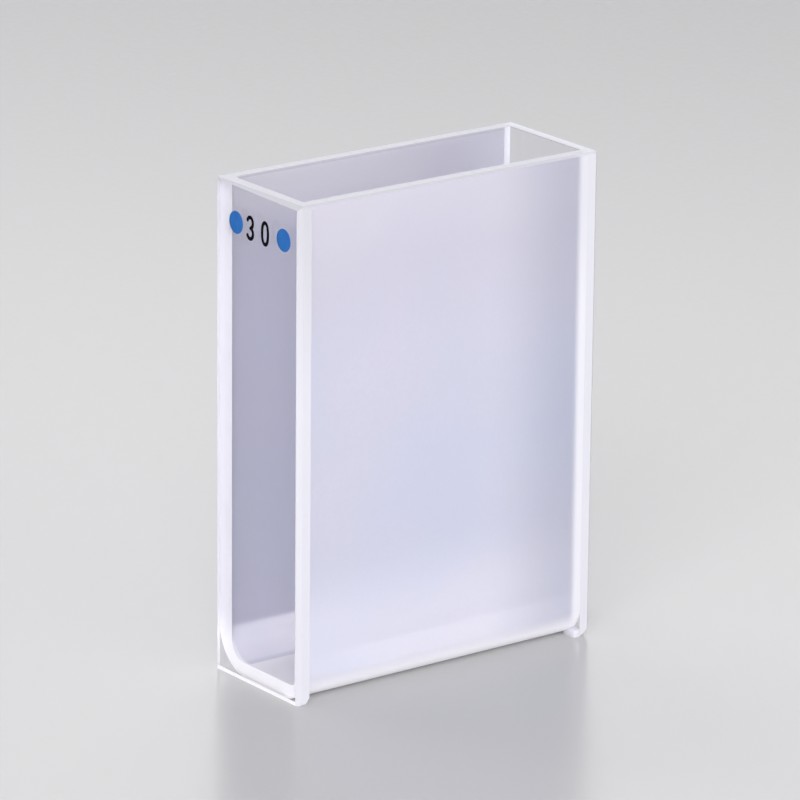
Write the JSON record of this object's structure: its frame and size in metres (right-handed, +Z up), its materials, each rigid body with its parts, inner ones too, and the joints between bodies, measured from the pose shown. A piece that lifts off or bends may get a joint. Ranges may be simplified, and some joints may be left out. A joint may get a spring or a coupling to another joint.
{
  "type": "cuvette",
  "caption": "Open-topped rectangular quartz cell: a frosted channel bent to a U, closed at both ends by clear, bevelled window plates, with colour dots printed on one window.",
  "frame": {"origin": "centre of the underside, midway between the windows and between the wide walls", "axes": "+X along the optical path, away from the printed window; +Y across the cell, square to the wide walls; +Z up, towards the open rim"},
  "size_m": [0.0324, 0.0126, 0.045],
  "materials": {
    "frosted_quartz": "ground outside, satin",
    "clear_quartz": "polished faces, ground edges",
    "ground_edge": "ground",
    "blue_ink": "printed enamel, satin",
    "black_ink": "printed enamel, satin"
  },
  "bodies": {
    "root": {"channel": "frosted_quartz", "marked_window": "clear_quartz", "plain_window": "clear_quartz"}
  },
  "joints": []
}
